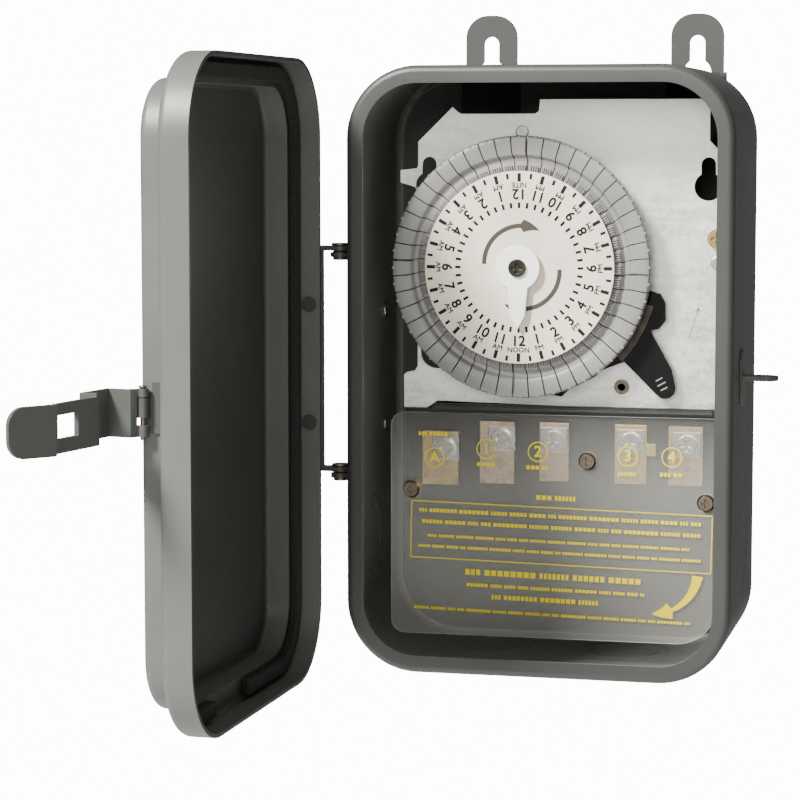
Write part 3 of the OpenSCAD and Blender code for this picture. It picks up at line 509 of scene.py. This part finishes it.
def makeTrippers(name, node, indices, trim=0.0):
    bm = bmesh.new()
    for index in indices:
        tripperShape(bm, index, trim)
    facing(bm, dialAt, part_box("tripper_east")[1][1])
    bmesh.ops.recalc_face_normals(bm, faces=bm.faces)
    piece = meshPiece(name, bm, finishes["tripper_grey"], bodyOf[node], tripper["sharp"])
    roundEdges(piece, tripper["edge"], 1, tripper["sharp"])
    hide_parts(node)


quarter = tripper["count"] // 4
makeTrippers("trippers.piece", "trippers", [i for i in range(tripper["count"]) if i % quarter])
for index, side in enumerate(("east", "north", "west", "south")):
    makeTrippers("tripper_" + side + ".piece", "tripper_" + side, [index * quarter], tripper["trim"])
print("trippers done")

dialPrint = {
    "longTick": (0.0274, 0.0301, 0.0011),      # near, far, width
    "shortTick": (0.0284, 0.0301, 0.0008),
    "innerTick": (0.0190, 0.0208, 0.0008),
    "numberRadius": 0.0236,
    "labelRadius": 0.0264,
    "numberSize": 0.0046,
    "labelSize": 0.0023,
    "numberBold": 0.00009,
    "labelBold": 0.00003,
    "height": 0.00008,
    "hours": 24,
    "firstHour": -90,                          # degrees, where noon stands
    "arrow": (0.0121, 0.0014, 0.0014, 0.0046),   # radius, then width at tail, neck and head
    "headShare": 0.24,
    "arrows": ((0.0008, 0.0013, 181, 61), (0.0011, -0.0011, 3, -119)),   # centre, start and end
}


def radialBar(bm, angle, near, far, width, height):
    addBox(bm, (far - near, width, height), onCircle((near + far) / 2, angle, height / 2), angle)


def curvedArrow(bm, centre, start, end, arrow, share, height):
    # a band bent round its centre, from its tail's width to its neck's, with a barbed head
    radius, tail, neck, head = arrow
    strip = bmesh.ops.create_grid(bm, x_segments=28, y_segments=1, size=0.5)["verts"]
    for v in strip:
        t = v.co.x + 0.5
        if t < 1 - share:
            wide = tail + (neck - tail) * t / (1 - share)
        else:
            wide = head * (1 - t) / share
        x, y, z = onCircle(radius + v.co.y * wide, math.radians(start + (end - start) * t), height)
        v.co = (centre[0] + x, centre[1] + y, z)


def makeDialPrint():
    h = dialPrint["height"]
    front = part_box("dial_disc")[0][1]
    bm = bmesh.new()
    for i in range(tripper["count"]):
        angle = math.radians(i * 360 / tripper["count"])
        outerTick = dialPrint["shortTick" if i % 2 else "longTick"]
        for near, far, width in (outerTick, dialPrint["innerTick"]):
            radialBar(bm, angle, near, far, width, h)
    for hour in range(dialPrint["hours"]):
        angle = math.radians(dialPrint["firstHour"] + hour * 360 / dialPrint["hours"])
        number = str((hour + 11) % 12 + 1)
        label = {0: "NOON", 12: "NITE"}.get(hour, "PM" if hour < 12 else "AM")
        for words, radius, size, bold in (
            (number, dialPrint["numberRadius"], dialPrint["numberSize"], dialPrint["numberBold"]),
            (label, dialPrint["labelRadius"], dialPrint["labelSize"], dialPrint["labelBold"]),
        ):
            addText(bm, words, size, onCircle(radius, angle, 0), angle + math.pi / 2, bold, h)
    facing(bm, dialAt, front)
    meshPiece("dialInk", bm, ink("blackInk", (0.010, 0.010, 0.009)), "dial")
    bm = bmesh.new()
    for x, z, start, end in dialPrint["arrows"]:
        curvedArrow(bm, (x, z), start, end, dialPrint["arrow"], dialPrint["headShare"], h)
    facing(bm, dialAt, front)
    meshPiece("dialArrows", bm, ink("taupeInk", (0.055, 0.046, 0.038)), "dial")


makeDialPrint()
print("dial print done")

sheetPrint = {
    # in mm, about the frame's centre, apart from the print's own height in m
    "tilt": -1.2,                 # degrees that the print hangs out of square
    "frame": (98.2, 18.5),        # width and height
    "centre": (3.9, -54.1),
    "line": 0.3,
    "height": 0.00008,
    # each row: height above the centre, letter height, width and sideways shift
    "rows": ((6.4, 1.5, 93, 0), (2.7, 1.5, 91, 0), (-1.9, 1.1, 86, -0.5), (-5.4, 1.1, 93, 0)),
    "below": ((-13.2, 2.3, 60, -0.7), (-17.4, 1.3, 59, -0.7), (-21.0, 1.8, 35, -4.3),
              (-25.8, 1.1, 91, -2)),
    "above": ((12.4, 1.9, 13.5, -1.2),),
    "arrow": (14.5, 3.4, 1.2, 5.6),   # radius, then width at tail, neck and head
    "arrowCentre": (30.5, -8.8),
    "arrowEnds": (-6, -90),           # degrees
    "headShare": 0.30,
    # circled marks, and the rows under them: place in mm on the case, letter height and width
    "marks": (("A", -37.4, -29.5), ("1", -20.2, -26.3), ("2", -3.3, -26.8), ("3", 25.9, -27.4),
              ("4", 40.0, -27.4)),
    "names": ((-37.4, -21.8, 1.6, 10.5), (-20.2, -31.3, 1.6, 6.2), (-3.3, -31.9, 1.6, 7.5),
              (25.9, -33.2, 1.6, 6.2), (40.0, -33.0, 1.6, 7.5)),
    "markRing": 3.3,
    "markInner": 0.89,
    "markSize": 5.0,
    "markBold": 0.1,
    "markSides": 40,
}
wordSet = {
    "shortest": 3,     # blocks in a word
    "longer": 6,
    "narrow": 0.42,    # a block's least width, and each step of more, in letter heights
    "wider": 0.16,
    "tall": 0.78,
    "gap": 0.2,
    "space": 0.4,
}


def wordRow(bm, x, z, tall, wide, seed, h):
    # rows of small plain blocks, grouped as words, in place of lettering
    end = x + wide / 2
    x -= wide / 2
    step = 0
    while x < end - tall:
        for block in range(wordSet["shortest"] + (step * 5 + seed * 3) % wordSet["longer"]):
            width = tall * (wordSet["narrow"] + wordSet["wider"] * ((block * 3 + step + seed) % 3))
            if x + width > end:
                break
            size = (width / 1000, tall * wordSet["tall"] / 1000, h)
            addBox(bm, size, ((x + width / 2) / 1000, z / 1000, h / 2))
            x += width + tall * wordSet["gap"]
        x += tall * wordSet["space"]
        step += 1


def makeSheetPrint():
    h = sheetPrint["height"]
    cx, cz = sheetPrint["centre"]
    wide, tall = sheetPrint["frame"]
    line = sheetPrint["line"]
    bm = bmesh.new()
    for s in (-1, 1):
        addBox(bm, (line / 1000, tall / 1000, h), (s * wide / 2000, 0, h / 2))
        addBox(bm, ((wide + line) / 1000, line / 1000, h), (0, s * tall / 2000, h / 2))
    rows = sheetPrint["rows"] + sheetPrint["below"] + sheetPrint["above"]
    for seed, (z, letters, width, shift) in enumerate(rows):
        wordRow(bm, shift, z, letters, width, seed, h)
    arrowAt = [v / 1000 for v in sheetPrint["arrowCentre"]]
    arrow = [v / 1000 for v in sheetPrint["arrow"]]
    start, end = sheetPrint["arrowEnds"]
    curvedArrow(bm, arrowAt, start, end, arrow, sheetPrint["headShare"], h)
    bmesh.ops.rotate(bm, cent=(0, 0, 0), verts=bm.verts,
                     matrix=Matrix.Rotation(math.radians(sheetPrint["tilt"]), 3, "Z"))
    bmesh.ops.translate(bm, vec=(cx / 1000, cz / 1000, 0), verts=bm.verts)
    for seed, (x, z, letters, width) in enumerate(sheetPrint["names"]):
        wordRow(bm, x, z, letters, width, seed, h)
    for mark, x, z in sheetPrint["marks"]:
        ring = bmesh.ops.create_circle(bm, radius=sheetPrint["markRing"] / 1000,
                                       segments=sheetPrint["markSides"])["verts"]
        edges = list({e for v in ring for e in v.link_edges})
        made = bmesh.ops.extrude_edge_only(bm, edges=edges)["geom"]
        inner = [g for g in made if isinstance(g, bmesh.types.BMVert)]
        bmesh.ops.scale(bm, vec=(sheetPrint["markInner"], sheetPrint["markInner"], 1), verts=inner)
        bmesh.ops.translate(bm, vec=(x / 1000, z / 1000, h), verts=ring + inner)
        addText(bm, mark, sheetPrint["markSize"] / 1000, (x / 1000, z / 1000), 0,
                sheetPrint["markBold"] / 1000, h)
    facing(bm, (0, 0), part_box("insulator")[0][1])
    meshPiece("sheetInk", bm, ink("yellowInk", (0.66, 0.53, 0.0)), bodyOf["insulator"])


makeSheetPrint()
print("sheet print done")

marks = {
    "plateLine": ((0.0437, 0.0097), (0.0470, 0.0198)),   # foot and head of the stamped line
    "plateWide": 0.00035,
    "plateHead": 0.0016,
    "headTurn": 0.45,                                    # radians, each side of the line
    # each mark: place, length and turn
    "leverMarks": ((0.0350, -0.0030, 0.0024, 0.5), (0.0358, -0.0045, 0.0030, 0.5),
                   (0.0366, -0.0060, 0.0024, 0.5)),
    "leverWide": 0.0004,
    "height": 0.00008,
}


def makeMarks():
    h = marks["height"]
    (x0, z0), (x1, z1) = marks["plateLine"]
    turn = math.atan2(z1 - z0, x1 - x0)
    long = math.hypot(x1 - x0, z1 - z0)
    bm = bmesh.new()
    addBox(bm, (long, marks["plateWide"], h), ((x0 + x1) / 2, (z0 + z1) / 2, h / 2), turn)
    reach = marks["plateHead"] / 2
    for side in (-1, 1):
        barb = turn + side * marks["headTurn"]
        x, z, lift = onCircle(-reach, barb, h / 2)
        addBox(bm, (2 * reach, marks["plateWide"], h), (x1 + x, z1 + z, lift), barb)
    facing(bm, (0, 0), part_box("mechanism_plate")[0][1])
    meshPiece("plateMark", bm, finishes["bare_steel"], bodyOf["mechanism_plate"])
    bm = bmesh.new()
    for x, z, long, turn in marks["leverMarks"]:
        addBox(bm, (long, marks["leverWide"], h), (x, z, h / 2), turn)
    facing(bm, (0, 0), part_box("manual_lever")[0][1])
    meshPiece("leverMark", bm, finishes["bare_steel"], bodyOf["manual_lever"])


makeMarks()
print("marks done")

stageSet = {
    "floor": -0.6,
    "floorSize": 1.6,
    "key": ((-0.85, -1.25, 1.25), 135, 0.35),
    "fill": ((0.5, -2.0, 0.1), 5, 1.4),
    "upper": ((0.02, -1.5, 0.5), 8, 0.6),
    "top": ((0.1, 0.2, 1.5), 7, 1.2),
    "lightColor": (1.0, 0.985, 0.95),
    "seen": 14.0,         # backdrop brightness
    "gloss": 0.22,
    "ambient": 0.10,
}


def areaLight(name, place, power, size, target=(0, -0.03, 0)):
    data = bpy.data.lights.new(name, "AREA")
    data.energy = power
    data.size = size
    data.color = stageSet["lightColor"]
    light = bpy.data.objects.new(name, data)
    light.location = place
    light.rotation_euler = (Vector(target) - Vector(place)).to_track_quat("-Z", "Y").to_euler()
    bpy.context.scene.collection.objects.link(light)


def makeStage():
    bm = bmesh.new()
    bmesh.ops.create_grid(bm, x_segments=1, y_segments=1, size=stageSet["floorSize"])
    mesh = bpy.data.meshes.new("floor")
    bm.to_mesh(mesh)
    bm.free()
    pale = Paint("floorPale", (0.9, 0.9, 0.9), roughness=0.9)
    mesh.materials.append(pale.material)
    floor = bpy.data.objects.new("floor", mesh)
    floor.location = (0, 0, stageSet["floor"])
    bpy.context.scene.collection.objects.link(floor)
    for name in ("key", "fill", "upper", "top"):
        place, power, size = stageSet[name]
        areaLight(name, place, power, size)
    world = bpy.data.worlds.new("studio")
    world.use_nodes = True
    bpy.context.scene.world = world
    tree = world.node_tree
    sky = tree.nodes["Background"]
    sky.inputs["Color"].default_value = (1, 1, 1, 1)
    path = tree.nodes.new("ShaderNodeLightPath")
    previous = stageSet["ambient"]
    for ray, value in (("Is Glossy Ray", stageSet["gloss"]), ("Is Camera Ray", stageSet["seen"])):
        mix = tree.nodes.new("ShaderNodeMix")
        tree.links.new(path.outputs[ray], mix.inputs["Factor"])
        if isinstance(previous, float):
            mix.inputs["A"].default_value = previous
        else:
            tree.links.new(previous, mix.inputs["A"])
        mix.inputs["B"].default_value = value
        previous = mix.outputs["Result"]
    tree.links.new(previous, sky.inputs["Strength"])


makeStage()
print("stage done")

bpy.context.view_layer.update()
